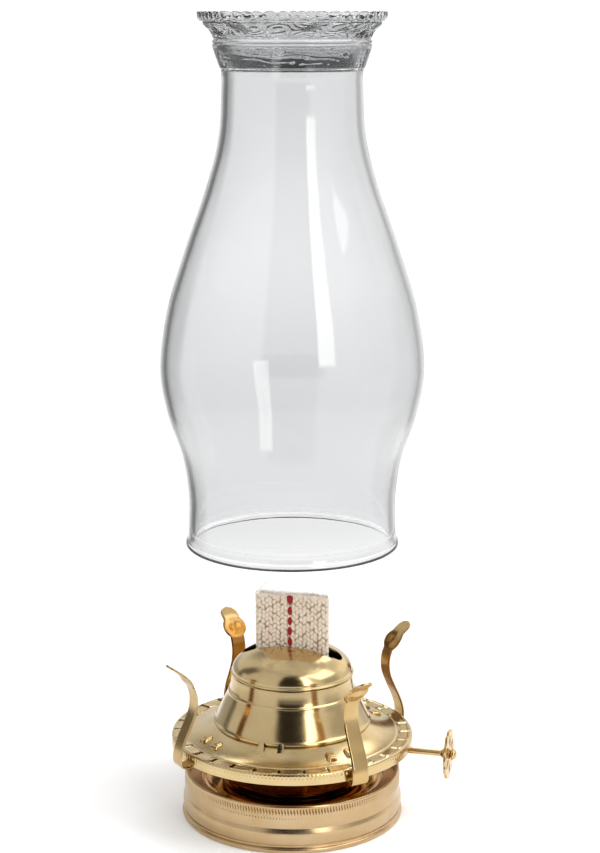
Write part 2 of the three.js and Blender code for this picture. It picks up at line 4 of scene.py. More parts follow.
import bpy
import numpy as np
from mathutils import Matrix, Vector


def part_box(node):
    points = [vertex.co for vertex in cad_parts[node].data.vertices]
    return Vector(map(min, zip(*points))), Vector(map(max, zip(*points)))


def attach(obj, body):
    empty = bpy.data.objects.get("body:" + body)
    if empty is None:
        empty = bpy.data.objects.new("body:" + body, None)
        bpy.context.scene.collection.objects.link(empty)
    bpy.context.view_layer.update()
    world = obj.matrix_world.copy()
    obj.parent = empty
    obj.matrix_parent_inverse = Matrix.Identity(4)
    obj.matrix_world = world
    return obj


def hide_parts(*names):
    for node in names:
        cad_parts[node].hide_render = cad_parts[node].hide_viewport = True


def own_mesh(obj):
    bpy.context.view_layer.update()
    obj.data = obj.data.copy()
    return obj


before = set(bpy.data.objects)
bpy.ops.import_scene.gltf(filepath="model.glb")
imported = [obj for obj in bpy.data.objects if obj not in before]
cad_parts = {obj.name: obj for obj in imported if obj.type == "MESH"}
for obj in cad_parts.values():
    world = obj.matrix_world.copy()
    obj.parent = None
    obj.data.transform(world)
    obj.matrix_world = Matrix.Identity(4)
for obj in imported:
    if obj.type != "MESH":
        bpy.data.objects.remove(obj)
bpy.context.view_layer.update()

MM = 0.001
PRONG_ANGLES = (45, 135, 225, 315)
TAB_ANGLES = (-6.5, 6.5)  # each prong's two tabs, beside its middle
CAMERA_AZIMUTH = 14.7


# ---- mesh helpers; the corners of an outline are (radius, height) or (radius, height, fillet), in mm ----

def node_low(node):
    """Lowest corner of a CAD node, in millimetres."""
    return np.array(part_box(node)[0]) / MM


def node_high(node):
    """Highest corner of a CAD node, in millimetres."""
    return np.array(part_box(node)[1]) / MM


def node_middle(node):
    """Middle of a CAD node's box, in millimetres."""
    return (node_low(node) + node_high(node)) / 2


def rise(value, start, over):
    """0 up to a start, and 1 from so far past it on."""
    return np.clip((value - start) / over, 0, 1)


def between(value, low, high, soft):
    """1 between two limits and 0 outside them, with soft ends."""
    return rise(value, low, soft) * rise(-value, -high, soft)


def round_turn(count):
    """Angles evenly spaced round a circle."""
    return np.linspace(0, 2 * math.pi, count, endpoint=False)


def direction(degrees):
    """Cosine and sine of an angle."""
    return math.cos(math.radians(degrees)), math.sin(math.radians(degrees))


def rounded(corners, step, closed=True):
    """A smooth outline through corners with fillets, with points about a step apart."""
    points = []
    count = len(corners)
    for i, (r, z, *fillet) in enumerate(corners):
        here = np.array((r, z), float)
        if not fillet or not (closed or 0 < i < count - 1):
            points.append(here)
            continue
        ends = []
        for other in (corners[i - 1], corners[(i + 1) % count]):
            way = np.array(other[:2], float) - here
            length = np.linalg.norm(way)
            ends.append(here + way / length * min(fillet[0], 0.49 * length))
        for t in np.linspace(0, 1, 6):
            points.append((1 - t) ** 2 * ends[0] + 2 * t * (1 - t) * here + t * t * ends[1])
    return spread(points, step, closed)


def spread(points, step, closed):
    """Adds points to the long stretches of an outline, so that none is longer than a step."""
    out = []
    for a, b in zip(points, points[1:] + points[:1] if closed else points[1:]):
        pieces = max(math.ceil(np.linalg.norm(b - a) / step), 1)
        out += [a + (b - a) * k / pieces for k in range(pieces)]
    return np.array(out if closed else out + points[-1:])


def smooth_curve(controls, samples):
    """A Catmull-Rom curve through its control points, with evenly spaced samples."""
    p = np.array(controls, float)
    p = np.vstack([2 * p[0] - p[1], p, 2 * p[-1] - p[-2]])
    fine = []
    for i in range(1, len(p) - 2):
        for t in np.linspace(0, 1, 24, endpoint=False):
            a, b, c, d = p[i - 1:i + 3]
            fine.append(0.5 * (2 * b + (c - a) * t + (2 * a - 5 * b + 4 * c - d) * t * t
                               + (3 * b - a - 3 * c + d) * t ** 3))
    fine.append(p[-2])
    fine = np.array(fine)
    length = np.concatenate([[0], np.cumsum(np.linalg.norm(np.diff(fine, axis=0), axis=1))])
    at = np.linspace(0, length[-1], samples)
    return np.stack([np.interp(at, length, fine[:, k]) for k in range(fine.shape[1])], axis=1)


def grid_faces(rows, columns, wrap_rows, wrap_columns):
    """Quads of a grid of points, as an array of four indices each."""
    i, j = np.indices((rows - (not wrap_rows), columns - (not wrap_columns))).reshape(2, -1)
    i2, j2 = (i + 1) % rows, (j + 1) % columns
    return np.stack([i * columns + j, i2 * columns + j, i2 * columns + j2, i * columns + j2], axis=1)


def faces_out(points, faces):
    """The faces, turned over if they enclose a negative volume."""
    a, b, c, d = points[faces.T]
    volume = np.sum(a * (np.cross(b, c) + np.cross(c, d)))
    return faces[:, ::-1] if volume < 0 else faces


def joined(parts):
    """The points and faces of several parts, as one."""
    starts = np.cumsum([0, *[len(points) for points, _ in parts]])
    faces = [part_faces + start for (_, part_faces), start in zip(parts, starts)]
    return np.vstack([points for points, _ in parts]), np.vstack(faces)


def placed(name, data):
    """A new object in the scene, of a mesh, curve, light or camera."""
    thing = bpy.data.objects.new(name, data)
    bpy.context.scene.collection.objects.link(thing)
    return thing


def mesh_from(name, points, faces):
    """A mesh object from points in millimetres."""
    mesh = bpy.data.meshes.new(name)
    mesh.from_pydata((np.asarray(points, float) * MM).tolist(), [], [list(map(int, f)) for f in faces])
    mesh.validate()
    mesh.update()
    return placed(name, mesh)


def vertices_of(piece):
    """The mesh's vertices, in millimetres."""
    flat = np.zeros(len(piece.data.vertices) * 3)
    piece.data.vertices.foreach_get("co", flat)
    return flat.reshape(-1, 3) / MM


def store(piece, name, values):
    """Keeps a number for each vertex, which the material reads by its name."""
    attribute = piece.data.attributes.new(name, "FLOAT", "POINT")
    attribute.data.foreach_set("value", np.asarray(values, np.float32).ravel())


def tangents(path):
    """Unit vectors along a path."""
    along = np.gradient(path, axis=0)
    return along / np.linalg.norm(along, axis=1)[:, None]


def evaluated_mesh(thing):
    """The mesh that an object's curve or modifiers make."""
    graph = bpy.context.evaluated_depsgraph_get()
    return bpy.data.meshes.new_from_object(thing.evaluated_get(graph))


def apply_modifiers(piece):
    mesh = evaluated_mesh(piece)
    piece.modifiers.clear()
    piece.data = mesh


def shade(piece, angle):
    """Smooth shading, with edges sharper than the angle kept crisp."""
    for polygon in piece.data.polygons:
        polygon.use_smooth = True
    piece.data.set_sharp_from_angle(angle=math.radians(angle))


def dress(piece, body, material, nodes=(), angle=32):
    """Gives a new piece its material, its body and the CAD nodes that it stands for."""
    piece.data.materials.clear()
    piece.data.materials.append(material)
    shade(piece, angle)
    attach(piece, body)
    if nodes:
        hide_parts(*nodes)


def turned(name, outline, steps, shape=None):
    """An outline turned round the Z axis. shape(radius, height, angle) may move the points."""
    angle = round_turn(steps)[:, None]
    r, z = [np.tile(column, (steps, 1)) for column in outline.T]
    if shape:
        r, z = shape(r, z, angle)
    points = np.stack([r * np.cos(angle), r * np.sin(angle), z], axis=2).reshape(-1, 3)
    return mesh_from(name, points, faces_out(points, grid_faces(steps, len(outline), True, True)))


def cut_by(piece, cutter):
    """Cuts one mesh object out of another and deletes the cutter."""
    modifier = piece.modifiers.new("cut", "BOOLEAN")
    modifier.operation = "DIFFERENCE"
    modifier.solver = "EXACT"
    modifier.object = cutter
    bpy.context.view_layer.update()
    apply_modifiers(piece)
    bpy.data.objects.remove(cutter)


def rods(name, ends, radius):
    """One mesh of plain rods, each level and between two points, used to drill holes."""
    points, faces, sides = [], [], 16
    for start, end in np.array(ends, float):
        axis = (end - start) / np.linalg.norm(end - start)
        side = np.cross(axis, [0, 0, 1])
        other = np.cross(axis, side)
        base = len(points)
        for tip in (start, end):
            for turn in round_turn(sides):
                points.append(tip + radius * (math.cos(turn) * side + math.sin(turn) * other))
        near = [base + k for k in range(sides)]
        far = [k + sides for k in near]
        for k in range(sides):
            faces.append([near[k - 1], near[k], far[k], far[k - 1]])
        faces += [near[::-1], far]
    return mesh_from(name, points, faces)


# ---- materials ----

def new_material(name, **inputs):
    """A material with one Principled shader and its plain inputs; _ is a space in an input's name."""
    material = bpy.data.materials.new(name)
    material.use_nodes = True
    tree = material.node_tree
    tree.nodes.clear()
    output = tree.nodes.new("ShaderNodeOutputMaterial")
    shader = tree.nodes.new("ShaderNodeBsdfPrincipled")
    tree.links.new(shader.outputs[0], output.inputs["Surface"])
    for key, value in inputs.items():
        shader.inputs[key.replace("_", " ")].default_value = value
    return material, tree, shader


def fill(node, inputs):
    """Sets a node's inputs; each may be a number, a colour or another node's output."""
    for key, value in inputs.items():
        if isinstance(value, bpy.types.NodeSocket):
            node.id_data.links.new(value, node.inputs[key])
        else:
            node.inputs[key].default_value = value


def add_node(kind, inputs, **settings):
    """A shader node, added to the tree that its inputs come from."""
    tree = next(value.id_data for value in inputs.values() if isinstance(value, bpy.types.NodeSocket))
    node = tree.nodes.new("ShaderNode" + kind)
    for key, value in settings.items():
        setattr(node, key, value)
    fill(node, inputs)
    return node


def calc(operation, a, b=0.0, clamp=False):
    return add_node("Math", {0: a, 1: b}, operation=operation, use_clamp=clamp).outputs[0]


def times(first, *others):
    for other in others:
        first = calc("MULTIPLY", first, other)
    return first


def plus(a, b, clamp=False):
    return calc("ADD", a, b, clamp)


def minus(a, b):
    return calc("SUBTRACT", a, b)


def blended(factor, low, high):
    """A colour between two, by a factor."""
    return add_node("Mix", {0: factor, 6: low, 7: high}, data_type="RGBA").outputs[2]


def place_of(tree):
    return tree.nodes.new("ShaderNodeTexCoord").outputs["Object"]


def stored(tree, name):
    """The number that store() kept on the mesh."""
    node = tree.nodes.new("ShaderNodeAttribute")
    node.attribute_name = name
    return node.outputs["Fac"]


def noise(place, scale, detail=2.0, roughness=0.5):
    inputs = {"Vector": place, "Scale": scale, "Detail": detail, "Roughness": roughness}
    return add_node("TexNoise", inputs).outputs[0]


def add_bump(shader, height, strength, distance):
    """Fine relief, its distance in millimetres."""
    inputs = {"Height": height, "Strength": strength, "Distance": distance * MM}
    fill(shader, {"Normal": add_node("Bump", inputs).outputs[0]})


def spun_place(place):
    """Coordinates in which noise comes out as marks that run round the Z axis, as on spun sheet metal."""
    around, across = 0.35, 7.0
    x, y, z = add_node("SeparateXYZ", {0: place}).outputs
    turn = calc("ARCTAN2", y, x)
    radius = calc("SQRT", plus(times(x, x), times(y, y)))
    return add_node("CombineXYZ", {
        0: times(calc("SINE", turn), around),
        1: times(radius, across / MM),
        2: plus(times(z, across / MM), times(calc("COSINE", turn), around)),
    }).outputs[0]


def brass(name, tones, roughness, spun=True, wear=0.5, shade_painted=False):
    """Bright pressed brass: fine spinning marks, cloudy patches of tone, faint smudges in the gloss.

    Where the mesh's attribute asks for it, the brass is also painted dark brown: painted shade and painted
    dark reflection."""
    material, tree, shader = new_material(name, Metallic=1.0)
    place = place_of(tree)
    clouds = noise(place, 75.0, 5.0, 0.6)
    smudge = noise(place, 320.0, 4.0, 0.65)
    lines = noise(spun_place(place) if spun else place, 1.0 if spun else 1500.0, 3.0, 0.7)
    tone = calc("MULTIPLY", minus(clouds, 0.35), 1.9, clamp=True)
    clean, tarnished = tones
    base = blended(tone, (*tarnished, 1), (*clean, 1))
    if shade_painted:
        # painted shade and painted dark reflection: dark brown mixed in where the mesh's attribute asks
        uneven = plus(times(tone, -0.5), 1.05)
        base = blended(times(stored(tree, "painted_shade"), uneven), base, (*SHADE_BROWN, 1))
    marks = plus(times(minus(lines, 0.5), 0.10), roughness)
    gloss = plus(times(minus(smudge, 0.5), 0.16 * wear + 0.02), marks)
    fill(shader, {"Base Color": base, "Roughness": gloss})
    relief = plus(times(lines, 0.6), times(smudge, 0.25 * wear))
    add_bump(shader, relief, 0.10, 0.05)
    return material


# each brass's clean and tarnished colour
PEACH = (0.60, 0.455, 0.29), (0.49, 0.335, 0.165)
PALE = (0.69, 0.555, 0.325), (0.59, 0.435, 0.21)
GOLD = (0.66, 0.49, 0.245), (0.54, 0.355, 0.135)
DULL = (0.64, 0.48, 0.25), (0.52, 0.345, 0.14)
# painted shade: a darker brass for the cup and the adapter plate, which lie in the shaded recess
RECESS_SHADE = (0.60, 0.36, 0.11), (0.46, 0.22, 0.05)
# painted shade: the dark brown painted into the recess and onto the back prongs' inner faces
SHADE_BROWN = (0.36, 0.15, 0.018)

band_brass = brass("band_brass", PEACH, 0.24, shade_painted=True)
dish_brass = brass("dish_brass", PALE, 0.21, wear=1.0)
cone_brass = brass("cone_brass", PALE, 0.17, wear=0.6)
prong_brass = brass("prong_brass", DULL, 0.19, spun=False, shade_painted=True)
raiser_brass = brass("raiser_brass", GOLD, 0.18, spun=False)
shaded_recess_brass = brass("shaded_recess_brass", RECESS_SHADE, 0.13)
inner_brass = brass("inner_brass", GOLD, 0.3, spun=False)


def glass_material():
    """Clear blown glass with very faint waviness from blowing; painted greyer where the mesh asks, for the
    dark reflections in the pressed collar.
    """
    material, tree, shader = new_material("blown_glass", Roughness=0.01, IOR=1.47, Transmission_Weight=1.0)
    place = place_of(tree)
    waves = noise(place, 55.0)
    clear = blended(waves, (0.885, 0.89, 0.895, 1), (0.90, 0.905, 0.91, 1))
    uneven = plus(0.7, times(noise(place, 260.0, 3.0, 0.6), 0.6))
    # painted dark reflection: the glass is tinted grey where the mesh's attribute asks
    amount = times(stored(tree, "painted_grey"), uneven)
    fill(shader, {"Base Color": blended(amount, clear, (0.50, 0.505, 0.515, 1))})
    add_bump(shader, waves, 0.12, 0.4)
    return material


def cotton_material():
    """Knitted cotton: pale on the loops, with painted shade in the gaps between them, and fuzzy fine
    threads.
    """
    material, tree, shader = new_material(
        "wick_cotton", Roughness=0.95, Sheen_Weight=0.35, Sheen_Roughness=0.5)
    place = place_of(tree)
    fuzz = noise(place, 2600.0, 4.0, 0.7)
    fuzzy = times(minus(fuzz, 0.5), 0.5)
    loops = calc("POWER", plus(stored(tree, "loop_height"), fuzzy, clamp=True), 0.75)
    thread = blended(noise(place, 160.0), (0.56, 0.45, 0.34, 1), (0.72, 0.63, 0.52, 1))
    # painted shade: the gaps between the loops are painted dark brown
    fill(shader, {"Base Color": blended(loops, (0.20, 0.125, 0.07, 1), thread)})
    add_bump(shader, fuzz, 0.6, 0.12)
    return material


def thread_material(name, dark, light):
    """Twisted sewing thread."""
    material, tree, shader = new_material(name, Roughness=0.85, Sheen_Weight=0.25)
    ply = noise(place_of(tree), 2200.0, 3.0, 0.65)
    fill(shader, {"Base Color": blended(ply, (*dark, 1), (*light, 1))})
    add_bump(shader, ply, 0.5, 0.08)
    return material


blown_glass = glass_material()
wick_cotton = cotton_material()
red_thread = thread_material("red_thread", (0.13, 0.0004, 0.001), (0.30, 0.001, 0.003))
stray_cotton = thread_material("stray_cotton", (0.78, 0.73, 0.65), (0.92, 0.88, 0.82))


# ---- jar band, adapter and cup ----

KNURL_COUNT = 228
BAND_SKIN = 35.9  # what lies outside this radius is the band's outer face


def helix_share(angle):
    """How far round a turn an angle is, from 0 to 1."""
    return np.mod(angle, 2 * math.pi) / (2 * math.pi)


def make_jar_band():
    """The screw band: rolled foot, bulge, step, two rows of knurled ticks, rolled top, thread."""
    top = node_high("jar_band")[2]
    pitch = 3.6
    outline = rounded([
        (35.4, 0, 0.2), (36.6, 0, 0.6), (37.0, 0.8, 0.5), (36.95, 1.6, 0.4), (36.1, 2.0, 0.2),
        (36.1, 2.5, 0.2), (36.62, 4.0, 1.5), (36.68, 6.4, 1.4), (36.2, 7.9, 0.5), (35.98, 8.35, 0.3),
        (36.1, 8.9, 0.5), (36.1, top - 1.1, 0.5), (35.9, top, 0.6), (35.0, top, 0.5), (34.8, top - 1.0, 0.5),
        (34.9, 13.5, 0.3), (30.5, 13.5, 0.25), (30.5, 12.9, 0.2), (35.2, 12.9, 0.4),
        (35.25, 8.6, 0.5), (35.8, 7.2, 1.2), (35.8, 4.6, 1.2), (35.4, 2.6, 0.4), (35.4, 1.2, 0.3),
    ], step=0.28)

    def knurl_and_thread(r, z, angle):
        ticks = np.clip(np.cos(KNURL_COUNT * angle + 0.9 * (z - 14)) * 1.5 - 0.2, 0, 1)
        upper = np.exp(-((z - 14.1) / 0.85) ** 4) * 0.5
        faint = 0.55 + 0.45 * np.sin(angle * 3 + 0.6)
        lower = np.exp(-((z - 12.1) / 0.42) ** 4) * 0.3 * faint
        r = r - ticks * (upper + lower) * (r > BAND_SKIN)
        inside = (r < BAND_SKIN) & (z > 2.4) & (z < 11.9)
        share = helix_share(angle)
        rib = sum(np.exp(-((z - 3.2 - pitch * (share + turn)) / 0.6) ** 2) for turn in (0, 1))
        return r - 0.55 * np.clip(rib, 0, 1) * inside * between(share, 0, 1, 0.05), z

    piece = turned("jar_band_formed", outline, steps=KNURL_COUNT * 6, shape=knurl_and_thread)
    # painted shade: the metal inside the rolled top is painted dark brown, for the shade and dark
    # reflections in the recess
    x, y, z = vertices_of(piece).T
    store(piece, "painted_shade", (np.hypot(x, y) < 35.4) & (z > 12.0))
    dress(piece, "burner", band_brass, ["jar_band"], angle=50)


def make_adapter():
    """The disc on the jar's rim, with two pressed ridges, and the collar with its rolled thread."""
    low, high = node_low("adapter_plate")[2], node_high("adapter_plate")[2]
    under, over = [(17.1, low, 0.1)], [(17.1, high, 0.1)]
    for ridge in (22, 28.6):
        under += [(ridge - 1, low, 0.5), (ridge, low - 0.5, 0.6), (ridge + 1, low, 0.5)]
        over += [(ridge - 1.2, high, 0.5), (ridge, high - 0.5, 0.6), (ridge + 1.2, high, 0.5)]
    outline = rounded([*under, (34.6, low, 0.2), (34.6, high, 0.2), *over[::-1]], step=0.5)
    plate = turned("adapter_plate_pressed", outline, steps=192)
    dress(plate, "burner", shaded_recess_brass, ["adapter_plate"])
    foot, head = node_low("adapter_collar")[2], node_high("adapter_collar")[2]
    pitch = 1.9

    def rolled_thread(r, z, angle):
        wave = 0.5 + 0.5 * np.cos(2 * math.pi * ((z - foot) / pitch - helix_share(angle)))
        span = between(z, foot + 0.6, foot + 7.4, 0.8)
        return r + 0.28 * wave * span * (r < 16.8) * (r > 16.4), z

    collar = turned("adapter_collar_threaded", rounded([
        (15.75, foot, 0.15), (16.6, foot, 0.15), (16.6, head - 0.6, 0.15), (19, head - 0.6, 0.2),
        (19, head, 0.2), (15.75, head, 0.3),
    ], step=0.25), steps=192, shape=rolled_thread)
    dress(collar, "burner", inner_brass, ["adapter_collar"])


def make_cup():
    """The bowl-shaped burner cup, with its neck, air holes and the shaft's hole."""
    top = node_high("burner_cup")[2]
    floor, foot, rim, wall = 14.4, 23.4, 31.2, 0.7
    cup = turned("burner_cup_spun", rounded([
        (14.6, 4.6, 0.15), (15.3, 4.6, 0.15), (15.3, 13.8, 0.4), (foot - 0.7, 13.8, 0.7), (foot, floor, 0.5),
        (rim, top, 0.15), (rim - wall, top, 0.15), (foot - wall, floor + 0.5, 0.5),
        (foot - wall - 0.5, floor, 0.4), (14.6, floor, 0.4),
    ], step=0.5), steps=240)

    def drill(y, z, reach, degrees=0.0):
        """The ends of a rod through the wall at a height, in a direction."""
        radius = foot + (rim - foot) * (z - floor) / (top - floor)
        c, s = direction(degrees)
        return [((radius + side) * c - y * s, (radius + side) * s + y * c, z) for side in (-reach, reach)]

    air_angles = [(hole + 0.5) * 18 for hole in range(20)]
    beside_shaft = [angle for angle in air_angles if abs(angle - 12) < 14]
    air_drills = [drill(0, 24.0, 2.2, angle) for angle in air_angles if angle not in beside_shaft]
    cut_by(cup, rods("air_drills", air_drills, 1.2))
    _, y, z = node_middle("wick_shaft")
    cut_by(cup, rods("shaft_drill", [drill(y, z, 4)], 1.3))
    dress(cup, "burner", shaded_recess_brass, ["burner_cup"])


# ---- gallery ----

SLIT_COUNT = 30
SLIT_INNER = 35.5
DISH_INNER = 25.4
GALLERY_TOP = 27.9


def dish_height(radius):
    """Height of the dish's upper face, which rises towards the cone."""
    inwards = np.clip((SLIT_INNER - radius) / (SLIT_INNER - DISH_INNER), 0, None)
    return GALLERY_TOP + 3.7 * inwards ** 1.6


def make_gallery():
    """The gallery: turned-down rim, lifted sectors between radial slits, dish, and the tabs' slots."""
    per_sector, slit_columns = 26, 3
    steps = SLIT_COUNT * per_sector
    rim = rounded([(39.8, 24.8), (39.8, 27.9, 0.7), (39.2, 27.95, 0.3), (38.6, 27.75, 0.3), (36.0, 27.75)],
                  step=0.28, closed=False)
    radii = np.arange(35.7, DISH_INNER, -0.3)
    groove = 0.3 * np.exp(-((radii - 35.3) / 0.35) ** 2)
    dish = np.stack([radii, dish_height(radii) - groove], axis=1)
    mouth = rounded([(25.2, 31.62), (24.25, 31.6, 0.6), (24.2, 29.9)], step=0.28, closed=False)
    r, z = np.vstack([rim, dish, mouth]).T
    rows = len(r)
    column = np.arange(steps)
    across = (column % per_sector) / (per_sector - 1)
    lift = (0.12 * across + 0.22 * rise(across, 0.66, 0.18))[:, None] * between(r, 35.7, 39.5, 0.6)
    first_slit = 0.5 * math.pi / SLIT_COUNT + 0.002
    turn = (column * (2 * math.pi / steps) + first_slit)[:, None]
    # fine ticks round the rim's upper edge
    ticks = 0.16 * (column % 4 < 2)[:, None] * np.exp(-((z - 27.3) / 0.4) ** 4) * (r > 39.5)
    radius = r - ticks
    points = np.stack([radius * np.cos(turn), radius * np.sin(turn), z + lift], axis=2).reshape(-1, 3)
    faces = grid_faces(steps, rows, True, False)
    face_column, row = faces[:, 0] // rows, faces[:, 0] % rows
    r, z = r[row], z[row]
    removed = (face_column % per_sector >= per_sector - slit_columns) & (r > 35.9) & (r < 39.3)
    degrees = np.degrees(turn[face_column, 0]) % 360
    for prong in PRONG_ANGLES:
        for side in TAB_ANGLES:
            away = np.abs((degrees - (prong + side) + 180) % 360 - 180)
            removed |= (away < 2.9) & (r > 31.25) & (r < 32.65) & (z < 29.5)
    piece = mesh_from("gallery_pressed", points, faces[~removed][:, ::-1])
    sheet = piece.modifiers.new("sheet", "SOLIDIFY")
    sheet.thickness = 0.5 * MM
    sheet.offset = -1
    sheet.use_even_offset = True
    apply_modifiers(piece)
    dress(piece, "burner", dish_brass, ["gallery_plate"], angle=40)


def make_lugs():
    """The small lugs, pinched up from the dish, that hold the cone's foot."""
    profile = smooth_curve([(28.4, 29.9), (27.8, 30.9), (27.25, 31.7), (26.95, 32.6), (26.6, 33.25)], 14)
    rows, columns, half_thick = len(profile), 7, 0.2
    points, faces = [], []
    for degrees in (83, 97, 263, 277):
        c, s = direction(degrees)
        for side in (-1, 1):
            strip = grid_faces(rows, columns, False, False) + len(points)
            faces.extend(strip if side < 0 else strip[:, ::-1])
            for t, (r, z) in enumerate(profile):
                half = 1.15 - 0.35 * (t / (rows - 1)) ** 3
                for across in np.linspace(-half, half, columns):
                    out = r + side * half_thick - 0.09 * math.cos(across / half * math.pi / 2)
                    points.append((out * c - across * s, out * s + across * c, z))
    piece = mesh_from("cone_lugs", points, faces)
    dress(piece, "burner", dish_brass)


# ---- prongs ----

PRONG_CONTROLS = [
    (32.6, 26.5), (35.5, 25.2), (38.8, 23.9), (41.4, 23.7), (42.9, 25), (42.9, 28.4), (41.6, 32.6),
    (39.2, 37.6), (37.4, 42), (37, 46), (37.9, 49.8), (39.9, 53.2), (42.2, 55.6), (46.4, 58.6),
]
PRONG_DISC = 8.6
PRONG_ACROSS = 17
NO_DISC = 99.0  # far from any disc
LEAST_SHADED_PRONG = 315  # the one beside the wheel gets hardly any painted dark reflection


def round_end(distance, length, reach, least):
    """How wide a strip still is near its round end, from 1 down to almost nothing."""
    from_end = min((length - distance) / reach, 1)
    return math.sqrt(max(1 - (1 - from_end) ** 2, least))


def prong_width(distance, length):
    """A strip that narrows upwards, then the round disc of the head, then the tongue."""
    disc_middle = length - 4 - PRONG_DISC / 2
    from_disc = distance - disc_middle
    disc = 2 * math.sqrt(max((PRONG_DISC / 2) ** 2 - from_disc ** 2, 0))
    tongue = 6.4 * round_end(distance, length, 3.0, 0.02)
    strip = 6.2 - 1.0 * min(distance / disc_middle, 1)
    return max(tongue if distance > disc_middle else strip, disc), from_disc


def tab_width(distance, length):
    """A tab that narrows to a blunt round end."""
    return 3.7 * round_end(distance, length, 1.2, 0.05) * (1 - 0.15 * distance / length), NO_DISC


def strip_points(controls, samples, width_at, thick, across=13, dimple=0.0):
    """Points of a bent strip with round edges, in the plane of radius and height, and its faces.

    width_at gives the width at a distance, and how far that is from the middle of the head's disc."""
    path = smooth_curve(controls, samples)
    length = np.linalg.norm(np.diff(path, axis=0), axis=1).sum()
    share = np.linspace(-1, 1, across)
    loops = []
    for i, (here, along) in enumerate(zip(path, tangents(path))):
        width, from_disc = width_at(length * i / (samples - 1), length)
        sideways = share * width / 2
        inwards = np.array([-along[1], along[0]])
        past_flat = rise(np.abs(sideways), (width - thick) / 2, thick / 2)
        edge = thick / 2 * np.sqrt(np.clip(1 - past_flat ** 2, 0.02, 1))
        hollow = dimple * np.exp(-(from_disc ** 2 + sideways ** 2) / 2.3 ** 2)
        inner, outer = [here + np.outer(offset - hollow, inwards) for offset in (edge, -edge)]
        front = np.column_stack([inner[:, 0], sideways, inner[:, 1]])
        back = np.column_stack([outer[:, 0], sideways, outer[:, 1]])
        loops.append(np.vstack([front, back[::-1]]))
    points = np.vstack(loops)
    count = 2 * across
    faces = grid_faces(samples, count, False, True).tolist()
    base = (samples - 1) * count
    for k in range(across - 1):
        faces.append([k, k + 1, count - 2 - k, count - 1 - k])
        faces.append([base + k + 1, base + k, base + count - 1 - k, base + count - 2 - k])
    return points, faces_out(points, np.array(faces))


def spun_about(points, degrees):
    """Points turned about the Z axis."""
    c, s = direction(degrees)
    return points @ np.array([[c, s, 0], [-s, c, 0], [0, 0, 1]])


def make_prongs():
    """The four prongs, each with a dished head and two tabs clinched over the dish."""
    strip = strip_points(PRONG_CONTROLS, 150, prong_width, 0.7, across=PRONG_ACROSS, dimple=0.75)
    root = strip_points([(31.7, 26.9), (33.2, 26.2), (34.6, 25.6)], 8, lambda *_: (9.8, NO_DISC), 0.7)
    tab, tab_faces = strip_points([(32.1, 26.2), (32.1, 27.6), (32.1, 28.6), (31.8, 29.25), (31.1, 29.6),
                                   (30.2, 29.75), (29.2, 29.85), (28.5, 29.95)], 40, tab_width, 1.5)
    points, faces = joined([strip, root, *[(spun_about(tab, side), tab_faces) for side in TAB_ANGLES]])
    # the face towards the flame is the first half of each of the strip's loops
    height = points[:, 2]
    index = np.arange(len(points))
    to_flame = (index < len(strip[0])) & (index % (2 * PRONG_ACROSS) < PRONG_ACROSS)
    # painted dark reflection: the face towards the flame is painted brown from the waist up, fading under
    # the head
    shade_amount = to_flame * rise(height, 30, 8) * np.clip((57.5 - height) / 4, 0.1, 1)
    for number, degrees in enumerate(PRONG_ANGLES, 1):
        piece = mesh_from(f"prong_{number}_formed", spun_about(points, degrees), faces)
        store(piece, "painted_shade", shade_amount * (0.1 if degrees == LEAST_SHADED_PRONG else 0.85))
        dress(piece, "burner", prong_brass, [f"prong_{number}"], angle=45)


# ---- cone and dome ----

RIDGE_RADIUS = 20.0
RIDGE_Z = 48.8
DOME_TOP = 58.8
SLOT_HALF_LENGTH = 17.0
SLOT_HALF_WIDTH = 4.0


def make_skirt():
    """The flared skirt of the cone: rolled lip, pressed grooves, and a straight neck under the ridge."""
    outer = [
        (25.4, 31.95, 0.2), (26.3, 32.1, 0.5), (26.35, 32.9, 0.5), (25.75, 33.45, 0.6), (25.0, 34.9, 1.5),
        (24.0, 37.1, 2), (22.75, 39.7, 1.5), (21.75, 41.7, 0.8), (21.45, 42.5, 0.4), (21.35, 43.2, 0.3),
        (20.85, 43.6, 0.3), (20.65, 44.3, 0.5), (20.3, 46.2, 1), (20.0, 48.5, 0.1),
    ]
    inner = [(19.4, 48.5, 0.1), (19.6, 46.2, 1), (20.1, 43.6, 1), (21.2, 41.4, 1), (23.4, 37, 2),
             (24.6, 34.4, 1), (24.9, 32.4, 0.4)]
    piece = turned("cone_skirt_spun", rounded(outer + inner, step=0.3), steps=360)
    dress(piece, "burner", cone_brass, ["cone_skirt"], angle=50)


def dome_height(radius, inset):
    """Height of the dome at a radius, so far under its outer face."""
    springing = RIDGE_Z + 0.9
    share = np.clip(radius / (RIDGE_RADIUS - inset), 0, 1)
    return springing + (DOME_TOP - inset - springing) * np.sqrt(1 - share ** 2)


def slot_edge(turn, grow=0.0):
    """Point of the slot's rounded outline in each direction."""
    straight = SLOT_HALF_LENGTH - SLOT_HALF_WIDTH
    half = SLOT_HALF_WIDTH + grow
    c, s = np.cos(turn), np.sin(turn)
    to_side = half / np.maximum(np.abs(s), 1e-6)
    to_end = straight * np.abs(c) + np.sqrt(np.maximum(half ** 2 - (straight * s) ** 2, 0))
    along = np.where(to_side * np.abs(c) <= straight, to_side, to_end)
    return along[:, None] * np.stack([c, s], axis=1)


